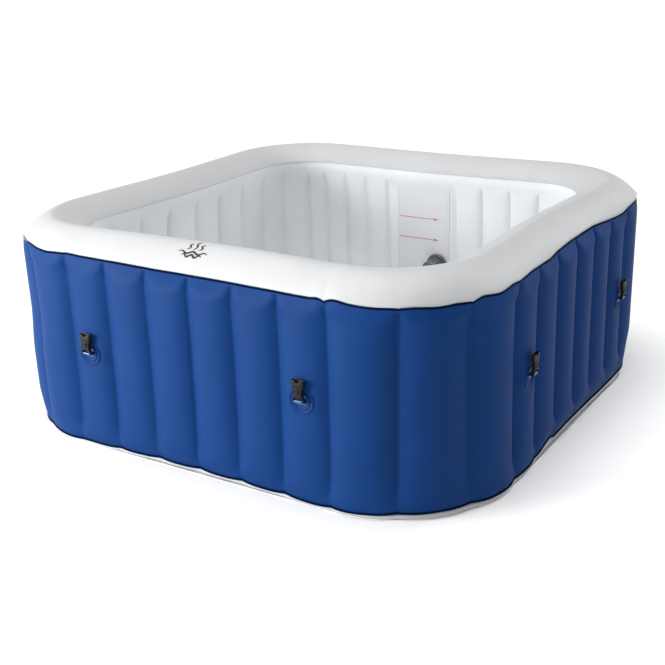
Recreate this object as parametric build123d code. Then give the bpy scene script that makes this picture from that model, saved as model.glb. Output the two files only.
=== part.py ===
from build123d import *
import os
from math import cos, radians, sin

os.makedirs("parts", exist_ok=True)

# Square inflatable hot tub for four people.
# Units are millimetres. The origin is the centre of the footprint on the floor, and +Z is up.
# -Y is the front wall. The water and air ports go through the back wall, at +Y.
# "Radius" in a ring's section is measured from the centre of a corner arc.

# ---- driving dimensions ----
STRAIGHT = 450.0          # the corner arcs are centred at x and y of plus or minus this
OUTER_RADIUS = 329.0      # outer wall, at the crown of its channels
SEAM_RADIUS = 320.0       # outer wall at its top seam
FOOT_RADIUS = 323.0       # outer wall at its foot seam
INNER_RADIUS = 144.0      # water side of the inner wall
APEX_RADIUS = 240.0       # highest line of the rim
TUB_HEIGHT = 632.0
FOOT_SEAM = 12.0          # height of the seam between the white foot strip and the blue wall
OUTER_SEAM = 568.5        # height of the blue wall's top seam
INNER_SEAM = 577.0        # height of the inner wall's top seam
SKIN = 3.0                # thickness of every skin, a stand-in for 0.6 mm coated PVC
WELT = 2.5                # thickness of a welded flange
INNER_WELT = 2.0          # thickness of the flange under the rim, on the water side
FLAT_SKIN_LOW = 60.0      # between these heights the outer wall is upright
FLAT_SKIN_HIGH = 500.0
FOOT_BEND = (327.5, 33.0)       # radius and height halfway round the wall's bend at the foot
SHOULDER_BEND = (326.8, 537.0)  # the same at the shoulder

# chambers
WEB = 2.0                 # thickness of a web
FRONT_PITCH = 141.5       # from web to web along the outside of the front wall
SIDE_PITCH = 139.0        # and along the two side walls
INNER_PITCH = 135.5       # along the inner wall
CHANNELS_EACH_WAY = 3
CORNER_WEB_ANGLES = (28.5, 61.5)
PANEL_LEFT = -174.0       # chamber that holds the level panel and the ports, in the back wall
PANEL_RIGHT = 100.0
BACK_PITCH_LEFT = 91.0
BACK_PITCH_RIGHT = 103.0

# buckles, two on every wall
BUCKLE_SPAN = 354.0       # from the middle of the wall to a buckle
PATCH_HEIGHT = 295.0
PATCH_RADIUS = 38.0
PATCH = 1.5
HINGE_OUT = 14.0          # from the wall to the buckle's crossbar
HINGE_HEIGHT = 299.0
CROSSBAR_RADIUS = 2.2
TAB = 1.5                 # the vinyl loop that holds a buckle
TAB_WIDTH = 25.0
TAB_GAP = 0.5

# ports in the back wall: x and height of each axis
SUCTION = (30.0, 242.0)
RETURN = (-105.0, 150.0)
AIR = (30.0, 118.0)
DRAIN = (-220.0, 88.0)
VALVE = (152.0, 440.0)
HOSE_RADIUS = 19.0        # spigot for a 38 mm pool hose
AIR_HOSE_RADIUS = 16.0    # spigot for a 32 mm air hose
SPIGOT_LENGTH = 34.0
PIPE_BORE = 15.5
PIPE_RADIUS = 18.7
AIR_BORE = 10.0
AIR_HOSE_FOOT = (30.0, 18.0)    # where the air hose enters the bubble ring
PIPE_HOLE = 21.0          # radius of the hole in a wall for each kind of fitting
AIR_HOLE = 18.0
AIR_FOOT_HOLE = 12.5
DRAIN_HOLE = 14.0
VALVE_HOLE = 14.6
CUT = 20.0                # how far a cutter reaches either side of a wall

WATER_FACE = STRAIGHT + INNER_RADIUS
WALL_FACE = STRAIGHT + OUTER_RADIUS
PLATE = 2.0
PLATE_FACE = WATER_FACE - PLATE


# ---- helpers ----
def save(shape, node):
    """Write one sub-part to its own STEP file."""
    shape.label = node
    export_step(shape, "parts/" + node + ".step")


def group(shapes):
    """Join separate solids of one node."""
    return Compound(children=list(shapes))


def section(points):
    """A section in the XZ plane: each point is (radius, height)."""
    return Plane.XZ * make_face(Polyline(points, close=True))


def ring(face):
    """Carry a section round the tub: four quarter turns and four straight sides."""
    corner = Pos(STRAIGHT, STRAIGHT, 0) * revolve(face, Axis.Z, 90)
    side = Pos(STRAIGHT, -STRAIGHT, 0) * extrude(face, 2 * STRAIGHT, dir=(0, 1, 0))
    quarter = corner + side
    whole = quarter
    for turn in (90, 180, 270):
        whole += Rot(0, 0, turn) * quarter
    return whole.clean()


def box_ring(inner, outer, low, high):
    """A ring with a rectangular section."""
    return ring(section([(inner, low), (outer, low), (outer, high), (inner, high)]))


def turned(points, place):
    """Turn a profile of (radius, y) points about a Y axis through place, which is (x, height)."""
    face = make_face(Polyline(points, close=True))
    return Pos(place[0], 0, place[1]) * revolve(face, Axis.Y, 360)


def bar(radius, start, end, place):
    """A round bar along Y, from y of start to y of end."""
    profile = [(0, start), (radius, start), (radius, end), (0, end)]
    return turned(profile, place)


def tube(inner, outer, start, end, place):
    """A round tube along Y."""
    profile = [(inner, start), (outer, start), (outer, end), (inner, end)]
    return turned(profile, place)


def block(x, y, z):
    """A box from its low and high limits on each axis."""
    middle = Pos((x[0] + x[1]) / 2, (y[0] + y[1]) / 2, (z[0] + z[1]) / 2)
    return middle * Box(x[1] - x[0], y[1] - y[0], z[1] - z[0])


def on_side(turn, shape):
    """Turn a shape made on the front wall to another wall."""
    return Rot(0, 0, turn) * shape


# ---- skins ----
def outer_wall():
    bottom = (FOOT_RADIUS, FOOT_SEAM + WELT)
    top = (SEAM_RADIUS, OUTER_SEAM)
    low = (OUTER_RADIUS, FLAT_SKIN_LOW)
    high = (OUTER_RADIUS, FLAT_SKIN_HIGH)
    faces = []
    for shift in (0, SKIN):
        points = [(p[0] - shift, p[1]) for p in (bottom, low, high, top)]
        foot = ThreePointArc(points[0], (FOOT_BEND[0] - shift, FOOT_BEND[1]), points[1])
        upright = Line(points[1], points[2])
        shoulder = ThreePointArc(points[2], (SHOULDER_BEND[0] - shift, SHOULDER_BEND[1]), points[3])
        faces.append((foot, upright, shoulder, points))
    outside, inside = faces
    closing_top = Line(outside[3][3], inside[3][3])
    closing_bottom = Line(inside[3][0], outside[3][0])
    edges = [*outside[:3], closing_top, *inside[:3], closing_bottom]
    wall = ring(Plane.XZ * make_face(edges))
    holes = [(SUCTION, PIPE_HOLE), (RETURN, PIPE_HOLE), (AIR, AIR_HOLE)]
    holes += [(DRAIN, DRAIN_HOLE), (VALVE, VALVE_HOLE)]
    for place, radius in holes:
        wall -= bar(radius, WALL_FACE - CUT, WALL_FACE + CUT, place)
    return wall


def inner_wall():
    wall = box_ring(INNER_RADIUS, INNER_RADIUS + SKIN, SKIN, INNER_SEAM)
    holes = [(SUCTION, PIPE_HOLE), (RETURN, PIPE_HOLE)]
    holes += [(DRAIN, DRAIN_HOLE), (AIR_HOSE_FOOT, AIR_FOOT_HOLE)]
    for place, radius in holes:
        wall -= bar(radius, WATER_FACE - CUT, WATER_FACE + CUT, place)
    return wall


def rim_curve(inset):
    """Outline of the rim from the outer seam over the apex to the inner seam."""
    points = []
    outer_start = SEAM_RADIUS - inset
    inner_end = INNER_RADIUS + inset
    apex = TUB_HEIGHT - inset
    low_outer = OUTER_SEAM + WELT
    low_inner = INNER_SEAM + INNER_WELT
    for angle in (0, 20, 45, 70):
        run = 1 - cos(radians(angle)) ** 1.37
        rise = sin(radians(angle)) ** 1.37
        radius = outer_start - (outer_start - APEX_RADIUS) * run
        points.append((radius, low_outer + (apex - low_outer) * rise))
    points.append((APEX_RADIUS, apex))
    for angle in (70, 45, 20, 0):
        run = 1 - cos(radians(angle)) ** 1.55
        rise = sin(radians(angle)) ** 1.55
        radius = inner_end + (APEX_RADIUS - inner_end) * run
        points.append((radius, low_inner + (apex - low_inner) * rise))
    return points


def top_band():
    over = rim_curve(0)
    under = rim_curve(SKIN)
    edges = [Spline(over), Line(over[-1], under[-1]), Spline(under), Line(under[0], over[0])]
    return ring(Plane.XZ * make_face(edges))


def base_sheet():
    size = 2 * (STRAIGHT + FOOT_RADIUS)
    plan = RectangleRounded(size, size, FOOT_RADIUS)
    return extrude(plan, SKIN)


# ---- chambers ----
def web(outer_end, inner_end, aside):
    """A thin upright web between a point on the outer wall and one on the inner wall."""
    start = Vector(*inner_end)
    end = Vector(*outer_end)
    half = Vector(*aside) * (WEB / 2)
    plan = make_face(Polyline(start - half, end - half, end + half, start + half, close=True))
    return Pos(0, 0, FLAT_SKIN_LOW) * extrude(plan, FLAT_SKIN_HIGH - FLAT_SKIN_LOW)


def wall_webs(turn, pitch):
    near = -(STRAIGHT + INNER_RADIUS + SKIN)
    far = -(STRAIGHT + OUTER_RADIUS - SKIN)
    webs = []
    for k in range(-CHANNELS_EACH_WAY, CHANNELS_EACH_WAY + 1):
        webs.append(on_side(turn, web((k * pitch, far), (k * INNER_PITCH, near), (1, 0))))
    return webs


def back_webs():
    near = STRAIGHT + INNER_RADIUS + SKIN
    far = STRAIGHT + OUTER_RADIUS - SKIN
    places = [PANEL_LEFT - k * BACK_PITCH_LEFT for k in range(CHANNELS_EACH_WAY + 1)]
    places += [PANEL_RIGHT + k * BACK_PITCH_RIGHT for k in range(CHANNELS_EACH_WAY + 1)]
    return group([web((x, far), (x, near), (1, 0)) for x in places])


def corner_webs():
    webs = []
    for turn in (0, 90, 180, 270):
        for angle in CORNER_WEB_ANGLES:
            along = (cos(radians(angle)), sin(radians(angle)))
            ends = []
            for radius in (OUTER_RADIUS - SKIN - 0.05, INNER_RADIUS + SKIN + 0.05):
                ends.append((STRAIGHT + radius * along[0], STRAIGHT + radius * along[1]))
            webs.append(on_side(turn, web(ends[0], ends[1], (-along[1], along[0]))))
    return group(webs)


# ---- water side of the back wall ----
def level_panel():
    panel = block((-131, 78), (PLATE_FACE, WATER_FACE), (60, 537))
    panel = fillet(panel.edges().filter_by(Axis.Y), 18)
    for place in (SUCTION, RETURN):
        panel -= bar(PIPE_HOLE, PLATE_FACE - CUT, WATER_FACE + CUT, place)
    return panel


def level_lines():
    marks = []
    for height in (333.0, 409.0):
        marks.append(block((-124, 10), (PLATE_FACE - 0.6, PLATE_FACE), (height - 1.2, height + 1.2)))
        head = Polyline((14, height - 5), (37, height), (14, height + 5), close=True)
        marks.append(Pos(0, PLATE_FACE, 0) * extrude(Plane.XZ * make_face(head), 0.6))
    return group(marks)


def bubble_ring():
    """Air channel at the foot of the inner wall, with a row of small holes in its sloping face."""
    r = INNER_RADIUS
    outline = [(r, 44), (r - 2, 44), (r - 2, 36), (r - 31, 5), (r - 40, 5), (r - 40, 3)]
    outline += [(r - 29.6, 3), (r - 2, 32), (r, 33)]
    channel = ring(section(outline))
    drill = Rot(45, 0, 0) * Cylinder(1.2, 20)
    for turn in (0, 90, 180, 270):
        for k in range(-6, 7):
            spot = Pos(k * 70, -(STRAIGHT + r - 16.5), 20.5)
            channel -= on_side(turn, spot * drill)
    return channel


def wall_fitting(place, flange, neck_end):
    """Round flange on the water side, with a neck that carries what screws on."""
    y = PLATE_FACE - 2
    profile = [(PIPE_BORE, y), (flange, y), (flange, y - 5), (flange - 3, y - 8), (24.5, y - 8)]
    profile += [(24.5, neck_end), (PIPE_BORE, neck_end)]
    return turned(profile, place)


def suction_cap():
    """Slotted strainer cap that twists on the neck of the suction fitting."""
    start = PLATE_FACE - 10.4
    end = 520.0
    profile = [(25, start), (29, start), (29, end + 7), (26, end + 2), (18, end), (0, end)]
    profile += [(0, end + 3), (17, end + 3), (22, end + 5), (25, end + 9)]
    cap = turned(profile, SUCTION)
    slot = Box(3, 26, 8)
    for k in range(12):
        around = Rot(0, 30 * k + 15, 0) * Pos(0, 0, 27)
        cap -= Pos(SUCTION[0], 543, SUCTION[1]) * around * slot
    grip = block((-16, 16), (end - 5, end + 1), (-2.5, 2.5))
    return cap + Pos(SUCTION[0], 0, SUCTION[1]) * grip


def filter_cartridge():
    """Pleated cartridge that sits behind the strainer cap."""
    points = []
    for k in range(36):
        radius = 22 if k % 2 else 18.5
        angle = radians(10 * k)
        points.append((radius * cos(angle), radius * sin(angle)))
    pleats = Plane.XZ * (make_face(Polyline(points, close=True)) - Circle(10))
    return Pos(SUCTION[0], 568, SUCTION[1]) * extrude(pleats, 36)


def return_grille():
    """Slotted disc pressed into the neck of the return fitting."""
    front = PLATE_FACE - 24
    disc = bar(24.5, front, front + 4, RETURN)
    disc += tube(12, PIPE_BORE - 0.1, front + 4, front + 12, RETURN)
    for k in range(-2, 3):
        slot = Pos(RETURN[0], front + 2, RETURN[1] + 6 * k) * Box(26, 10, 3)
        disc -= slot
    return disc


# ---- ports ----
def gasket(radius, inner, start, place):
    return tube(inner, radius, start, start + 2, place)


def spigot(place, radius, bore):
    """Flange and hose spigot on the outside of the wall."""
    y = WALL_FACE + 2
    end = y + 5 + SPIGOT_LENGTH
    profile = [(bore, y), (32, y), (32, y + 4), (30, y + 5), (radius, y + 5)]
    profile += [(radius, end - 1.5), (radius - 1.5, end), (bore, end)]
    return turned(profile, place)


def air_hose():
    """Hose in the chamber, from the air port down and through the foot of the inner wall."""
    start = (AIR[0], WALL_FACE + 2, AIR[1])
    end = (AIR_HOSE_FOOT[0], PLATE_FACE, AIR_HOSE_FOOT[1])
    middle = (PLATE_FACE + WALL_FACE) / 2 - 15
    bends = [(AIR[0], middle, AIR[1]), (AIR_HOSE_FOOT[0], middle, AIR_HOSE_FOOT[1])]
    path = FilletPolyline(start, *bends, end, radius=35)
    end_plane = Plane(origin=start, z_dir=(0, -1, 0))
    hose = sweep(end_plane * Circle(12), path)
    return hose - sweep(end_plane * Circle(9.5), path)


# ---- drain ----
def drain_body():
    """Threaded drain outlet low on the outside of the back wall."""
    y = WALL_FACE
    profile = [(9, y - 8), (13.6, y - 8), (13.6, y), (26, y), (26, y + 3), (16, y + 3)]
    profile += [(16, y + 22), (9, y + 22)]
    body = turned(profile, DRAIN)
    for k in range(4):
        start = y + 6 + 4 * k
        body += tube(15.5, 17, start, start + 1.8, DRAIN)
    return body


def drain_cap():
    """Screw cap over the drain outlet."""
    y = WALL_FACE + 3.6
    profile = [(17.4, y), (21, y), (21, y + 24), (18, y + 26), (0, y + 26), (0, y + 22), (17.4, y + 22)]
    cap = turned(profile, DRAIN)
    rib = Pos(21, 0, 0) * Box(2.4, 20, 3)
    ribs = [Pos(DRAIN[0], y + 13, DRAIN[1]) * (Rot(0, 30 * k, 0) * rib) for k in range(12)]
    for one in ribs:
        cap += one
    return cap


def drain_inlet():
    """Flange and seat for the stopper, low on the water side of the back wall."""
    y = WATER_FACE
    profile = [(11, y - 4), (26, y - 4), (28, y), (13.6, y), (13.6, y + 10), (11, y + 10)]
    return turned(profile, DRAIN)


def drain_stopper():
    """Push-in stopper with a finger tab."""
    y = WATER_FACE - 4.4
    plug = turned([(0, y - 4), (17, y - 4), (17, y), (10.6, y), (10.0, y + 11), (0, y + 11)], DRAIN)
    tab = block((DRAIN[0] - 9, DRAIN[0] + 9), (y - 18, y - 3.5), (DRAIN[1] - 1.5, DRAIN[1] + 1.5))
    return plug + tab


# ---- air valve ----
def valve_body():
    """Valve housing in the outer wall: a tube, a flange and a seat with four air holes."""
    y = WALL_FACE
    profile = [(11, y - 22), (14, y - 22), (14, y), (25, y), (25, y + 2.5), (16, y + 2.5)]
    profile += [(16, y + 8), (11, y + 8)]
    body = turned(profile, VALVE) + tube(2.6, 11.5, y - 16, y - 13, VALVE)
    for k in range(4):
        around = Rot(0, 45 + 90 * k, 0) * Pos(6.8, 0, 0) * Rot(90, 0, 0) * Cylinder(2, 8)
        body -= Pos(VALVE[0], y - 14.5, VALVE[1]) * around
    return body


def valve_stem():
    """Plunger: a disc behind the seat, a rod through it and a button in front."""
    y = WALL_FACE
    profile = [(0, y - 26), (12.6, y - 26), (12.6, y - 22.3), (2.3, y - 22.3), (2.3, y + 1)]
    profile += [(6.5, y + 1), (6.5, y + 3.5), (5.5, y + 4.5), (0, y + 4.5)]
    return turned(profile, VALVE)


def valve_spring():
    """Spring between the seat and the button."""
    length = 13.0
    helix = Helix(pitch=length / 6, height=length, radius=4.6)
    wire_plane = Plane(origin=helix @ 0, z_dir=helix % 0)
    coil = sweep(wire_plane * Circle(0.45), helix, is_frenet=True)
    return Pos(VALVE[0], WALL_FACE - 12.5, VALVE[1]) * Rot(-90, 0, 0) * coil


def valve_cap():
    """Screw cap over the valve, with a bar to turn it by."""
    y = WALL_FACE + 2.9
    profile = [(16.4, y), (19.5, y), (19.5, y + 9), (17, y + 11), (0, y + 11), (0, y + 8.5), (16.4, y + 8.5)]
    cap = turned(profile, VALVE)
    return cap + Pos(VALVE[0], y + 13, VALVE[1]) * Box(26, 6, 4)


# ---- buckles ----
def buckle_patch():
    """Round welded patch with two raised rings."""
    profile = [(0, 0), (PATCH_RADIUS, 0), (PATCH_RADIUS, PATCH), (35, PATCH), (34.5, PATCH + 0.8)]
    profile += [(32, PATCH + 0.8), (31.5, PATCH), (25, PATCH), (24.5, PATCH + 0.8), (22, PATCH + 0.8)]
    profile += [(21.5, PATCH), (0, PATCH)]
    disc = revolve(make_face(Polyline(profile, close=True)), Axis.Y, 360)
    return Rot(0, 0, 180) * disc


def strap_tab():
    """Vinyl loop round the buckle's crossbar, with its two flaps welded to the patch."""
    gap = CROSSBAR_RADIUS + TAB_GAP
    thick = gap + TAB
    bend = HINGE_OUT - PATCH
    flap = 10.0
    loop = Pos(bend, 0) * (Circle(thick) - Circle(gap))
    loop -= Pos(bend - thick, 0) * Rectangle(2 * thick, 4 * thick)
    for way in (-1, 1):
        loop += Pos(bend / 2, way * (gap + TAB / 2)) * Rectangle(bend, TAB)
        loop += Pos(TAB / 2, way * (gap + flap / 2)) * Rectangle(TAB, flap)
    strap = extrude(Plane.YZ * loop, TAB_WIDTH)
    return Pos(-TAB_WIDTH / 2, 0, 0) * strap.mirror(Plane.XZ)


def buckle():
    """Side-release socket. Its crossbar is on the X axis and its mouth is at the top."""
    half = [(19, -2.6), (19, 5), (13.5, 14), (11.5, 22), (11.8, 29), (15, 38), (19, 44), (19.5, 56)]
    outline = half + [(-x, z) for x, z in reversed(half)]
    body = Pos(0, 6, 0) * extrude(Plane.XZ * make_face(Polyline(outline, close=True)), 12)
    body = fillet(body.edges().filter_by(Axis.Y), 1.2)
    slot = [(-13.5, -10), (13.5, -10), (13.5, 5.5), (8, 12), (-8, 12), (-13.5, 5.5)]
    body -= Pos(0, 10, 0) * extrude(Plane.XZ * make_face(Polyline(slot, close=True)), 20)
    body -= block((-14, 14), (-3.8, 3.8), (40, 60))
    for way in (-1, 1):
        body -= block(sorted((way * 13, way * 30)), (-3.2, 3.2), (42, 50))
    bar_x = Rot(0, 90, 0) * Cylinder(CROSSBAR_RADIUS, 34)
    return body + bar_x


def main():
    save(base_sheet(), "base_sheet")
    save(box_ring(SEAM_RADIUS, SEAM_RADIUS + SKIN, SKIN, FOOT_SEAM), "foot_strip")
    save(box_ring(SEAM_RADIUS, SEAM_RADIUS + 13, FOOT_SEAM, FOOT_SEAM + WELT), "foot_welt")
    save(outer_wall(), "outer_wall")
    save(box_ring(SEAM_RADIUS - SKIN, SEAM_RADIUS + 12, OUTER_SEAM, OUTER_SEAM + WELT), "rim_welt")
    save(top_band(), "top_band")
    inner_welt = box_ring(INNER_RADIUS - 4, INNER_RADIUS + SKIN, INNER_SEAM, INNER_SEAM + INNER_WELT)
    save(inner_welt, "inner_welt")
    save(inner_wall(), "inner_wall")
    save(group(wall_webs(0, FRONT_PITCH)), "front_webs")
    save(group(wall_webs(90, SIDE_PITCH) + wall_webs(270, SIDE_PITCH)), "side_webs")
    save(back_webs(), "back_webs")
    save(corner_webs(), "corner_webs")
    save(level_panel(), "level_panel")
    save(level_lines(), "level_lines")
    save(bubble_ring(), "bubble_ring")

    save(wall_fitting(SUCTION, 40, PLATE_FACE - 24), "suction_fitting")
    save(filter_cartridge(), "filter_cartridge")
    save(suction_cap(), "suction_cap")
    save(wall_fitting(RETURN, 32, PLATE_FACE - 20), "return_fitting")
    save(return_grille(), "return_grille")
    inner_gaskets = [gasket(36, PIPE_HOLE, PLATE_FACE - 2, SUCTION)]
    inner_gaskets.append(gasket(30, PIPE_HOLE, PLATE_FACE - 2, RETURN))
    save(group(inner_gaskets), "inner_gaskets")
    for place, node in ((SUCTION, "suction_pipe"), (RETURN, "return_pipe")):
        save(tube(PIPE_BORE, PIPE_RADIUS, PLATE_FACE - 2, WALL_FACE + 2, place), node)
    save(air_hose(), "air_hose")
    outer_gaskets = [gasket(30, PIPE_HOLE, WALL_FACE, place) for place in (SUCTION, RETURN)]
    outer_gaskets.append(gasket(28, AIR_HOLE, WALL_FACE, AIR))
    save(group(outer_gaskets), "outer_gaskets")
    save(spigot(SUCTION, HOSE_RADIUS, PIPE_BORE), "suction_spigot")
    save(spigot(RETURN, HOSE_RADIUS, PIPE_BORE), "return_spigot")
    save(spigot(AIR, AIR_HOSE_RADIUS, AIR_BORE), "air_spigot")

    save(drain_body(), "drain_outlet")
    save(drain_cap(), "drain_cap")
    save(drain_inlet(), "drain_inlet")
    save(drain_stopper(), "drain_stopper")
    save(tube(11, 13.4, WATER_FACE + 10, WALL_FACE - 8, DRAIN), "drain_pipe")

    save(valve_body(), "valve_body")
    save(valve_stem(), "valve_stem")
    save(valve_spring(), "valve_spring")
    save(valve_cap(), "valve_cap")

    patches = []
    tabs = []
    for wall, turn in (("front", 0), ("right", 90), ("back", 180), ("left", 270)):
        for end, x in (("a", -BUCKLE_SPAN), ("b", BUCKLE_SPAN)):
            patches.append(on_side(turn, Pos(x, -WALL_FACE, PATCH_HEIGHT) * buckle_patch()))
            tab_place = Pos(x, -(WALL_FACE + PATCH), HINGE_HEIGHT)
            tabs.append(on_side(turn, tab_place * strap_tab()))
            hinge = Pos(x, -(WALL_FACE + HINGE_OUT), HINGE_HEIGHT)
            save(on_side(turn, hinge * buckle()), "buckle_" + wall + "_" + end)
    save(group(patches), "buckle_patches")
    save(group(tabs), "strap_tabs")


main()
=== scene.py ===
import math

import bpy
import numpy as np
from mathutils import Matrix, Vector, noise


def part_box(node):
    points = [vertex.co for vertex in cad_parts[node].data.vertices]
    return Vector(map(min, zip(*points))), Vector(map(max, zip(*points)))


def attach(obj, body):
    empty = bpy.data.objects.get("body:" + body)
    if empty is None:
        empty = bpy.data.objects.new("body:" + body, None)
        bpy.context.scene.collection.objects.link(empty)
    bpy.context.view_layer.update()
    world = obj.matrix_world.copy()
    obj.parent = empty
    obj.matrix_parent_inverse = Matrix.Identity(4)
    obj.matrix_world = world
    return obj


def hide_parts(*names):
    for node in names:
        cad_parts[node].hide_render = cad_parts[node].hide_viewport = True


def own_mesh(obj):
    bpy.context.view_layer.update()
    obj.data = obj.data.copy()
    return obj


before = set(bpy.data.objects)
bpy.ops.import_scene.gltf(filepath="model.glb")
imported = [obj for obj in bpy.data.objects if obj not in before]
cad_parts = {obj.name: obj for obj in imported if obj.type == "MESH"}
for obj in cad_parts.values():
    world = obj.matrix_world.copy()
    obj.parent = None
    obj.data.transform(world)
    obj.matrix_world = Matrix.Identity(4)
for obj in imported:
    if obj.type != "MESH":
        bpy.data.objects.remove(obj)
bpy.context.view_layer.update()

# ---- Driving sizes, in metres ----
# Every level of the tub is a square outline with round corners: "half" is half its width,
# "radius" its corner radius and "waist" how far the middle of each side is drawn in.
WALL_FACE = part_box("outer_wall")[1].x          # crown of the outer channels
TUB_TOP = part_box("top_band")[1].z
SEAM_Z = 0.5705                                # outer rim seam
INNER_SEAM_Z = 0.5790
FOOT_Z = 0.0135                                # blue wall's foot seam
SEAM = {"half": 0.7700, "radius": 0.3196, "waist": 0.0150}
FOOT = {"half": 0.7739, "radius": 0.3437, "waist": 0.0075}
INNER = {"half": 0.5941, "radius": 0.1723, "waist": 0.0150}
BASIN = {"half": 0.5941, "radius": 0.1600, "waist": 0.0030}
RIM_APEX = 0.4554                              # share of the rim's width, from outside
RIM_OUTER_POWER = 1.4583
RIM_INNER_POWER = 1.2856

OUTER_PITCH = 0.1415
SIDE_PITCH = 0.1390
INNER_PITCH = 0.1355
CORNER_WEB = math.radians(28.5)
BACK_WEBS = [-0.409, -0.306, -0.203, -0.100, 0.174, 0.265, 0.356, 0.447]
PANEL_CHAMBER = 4                              # fifth interval of the back wall's list of webs
BUCKLE_SPAN = 0.354
PATCH_Z = 0.295
PATCH_RADIUS = 0.038


def smooth(x):
    """Smooth step from 0 to 1 as x goes from 0 to 1."""
    x = np.clip(x, 0.0, 1.0)
    return x * x * (3 - 2 * x)


def lerp(a, b, t):
    return a + (b - a) * t


def level_between(a, b, t):
    return {key: lerp(a[key], b[key], t) for key in a}


# ---- Columns: one chain of places round the tub, the same for every level ----
class Columns:
    """Places round the tub. Each lies in a chamber, at a share of the way between its two webs."""

    def __init__(self, per_chamber):
        rows, chambers_before = [], 0
        for wall in range(4):
            pitch = OUTER_PITCH if wall == 0 else SIDE_PITCH
            outer = BACK_WEBS if wall == 2 else [k * pitch for k in range(-3, 4)]
            inner = BACK_WEBS if wall == 2 else [k * INNER_PITCH for k in range(-3, 4)]
            # "corner" and "mid" stand for the corner web and the middle of the corner
            webs = [["-mid", "-corner"] + list(row) + ["+corner", "+mid"] for row in (outer, inner)]
            last = len(webs[0]) - 2
            for i in range(last + 1):
                count = per_chamber // 2 if i in (0, last) else per_chamber
                ends = [("-before" if i == 0 else row[i], "+after" if i == last else row[i + 1]) for row in webs]
                chamber, is_panel = (chambers_before + i) % 41, wall == 2 and i == PANEL_CHAMBER + 1
                for j in range(count):
                    t = j / per_chamber + (0.5 if i == 0 else 0.0)
                    share = 0.5 - 0.5 * math.cos(math.pi * t)
                    share = 0.55 * share + 0.45 * t
                    rows.append((wall, share, chamber, is_panel, *ends[0], *ends[1]))
            chambers_before += last
        wall, share, chamber, panel, self.low, self.high, self.low_in, self.high_in = zip(*rows)
        self.wall, self.share = np.array(wall), np.array(share)
        self.chamber, self.panel = np.array(chamber), np.array(panel)
        self.count = len(rows)
        # 0 in the middle of a chamber, 1 on a web
        self.q = np.abs(2 * self.share - 1)

    def lengths(self, ends, level):
        """Distance along the outline from the middle of the wall, for each column's web."""
        straight = level["half"] - level["radius"]
        corner = straight + level["radius"] * CORNER_WEB
        mid = straight + level["radius"] * math.pi / 4
        known = {
            "-mid": -mid, "+mid": mid, "-corner": -corner, "+corner": corner,
            "-before": corner - 2 * mid, "+after": 2 * mid - corner,
        }
        return np.array([known[e] if isinstance(e, str) else e for e in ends])

    def along(self, level, inward):
        """Distance along the outline for every column. inward is 0 on the outer wall, 1 on the inner one."""
        low = lerp(self.lengths(self.low, level), self.lengths(self.low_in, level), inward)
        high = lerp(self.lengths(self.high, level), self.lengths(self.high_in, level), inward)
        return lerp(low, high, self.share)


def outline(level, wall, along):
    """Points and outward normals on a level's outline, from distances along each wall."""
    straight = level["half"] - level["radius"]
    beyond = np.maximum(np.abs(along) - straight, 0.0)
    angle = beyond / level["radius"]
    sign = np.sign(along)
    x = np.clip(along, -straight, straight) + sign * level["radius"] * np.sin(angle)
    y = -(straight + level["radius"] * np.cos(angle))
    nx = sign * np.sin(angle)
    ny = -np.cos(angle)
    pull = np.where(np.abs(along) < straight, (1 - (along / straight) ** 2) ** 2, 0.0)
    y = y + level["waist"] * pull
    turn = wall * (math.pi / 2)
    c, s = np.cos(turn), np.sin(turn)
    points = np.stack([c * x - s * y, s * x + c * y], -1)
    normals = np.stack([c * nx - s * ny, s * nx + c * ny], -1)
    return points, normals


def level_ring(columns, level, inward=0):
    """Distances along the walls, points and outward normals of a level, for every column."""
    along = columns.along(level, inward)
    return (along, *outline(level, columns.wall, along))


def steady(chamber, salt):
    """A number from -1 to 1 that stays the same for a chamber on every run."""
    value = np.sin(chamber * 12.9898 + salt * 78.233) * 43758.5453
    return 2 * (value - np.floor(value)) - 1


# ---- Small mesh helpers ----
def new_object(name, data):
    ob = bpy.data.objects.new(name, data)
    bpy.context.scene.collection.objects.link(ob)
    return ob


def mesh_from(name, verts, faces, shade=True):
    mesh = bpy.data.meshes.new(name)
    mesh.from_pydata([tuple(v) for v in verts], [], [tuple(f) for f in faces])
    mesh.validate()
    mesh.update()
    if shade:
        mesh.shade_smooth()
    return new_object(name, mesh)


def ring_faces(rings, sides, first=0, wrap=False):
    """Quads between rings of points, each closed on itself. With wrap the last ring meets the first."""
    faces = []
    for r in range(rings if wrap else rings - 1):
        here, there = first + r * sides, first + (r + 1) % rings * sides
        for i in range(sides):
            j = (i + 1) % sides
            faces.append((here + i, here + j, there + j, there + i))
    return faces


def ring_mesh(name, rows, closed_rows=False, flip=False):
    """A mesh from rows of points, each an array of one point per column."""
    faces = ring_faces(len(rows), len(rows[0]), 0, closed_rows)
    if flip:
        faces = [f[::-1] for f in faces]
    return mesh_from(name, np.concatenate(rows), faces)


def closed_loft(sections):
    """Points and faces of a body from a list of rings of points, closed at both ends."""
    sides, last = len(sections[0]), (len(sections) - 1) * len(sections[0])
    faces = ring_faces(len(sections), sides)
    faces.append(tuple(reversed(range(sides))))
    faces.append(tuple(range(last, last + sides)))
    return [point for ring in sections for point in ring], faces


def loft(name, sections, shade=False):
    return mesh_from(name, *closed_loft(sections), shade)


def add_part(verts, faces, more_verts, more_faces):
    """Add another piece of mesh to lists of points and faces."""
    first = len(verts)
    verts += more_verts
    faces += [tuple(first + i for i in face) for face in more_faces]


def circle(sides, start=0.0):
    """Cosine and sine of every corner of a regular ring."""
    turns = [2 * math.pi * (i + start) / sides for i in range(sides)]
    return [(math.cos(turn), math.sin(turn)) for turn in turns]


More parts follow.
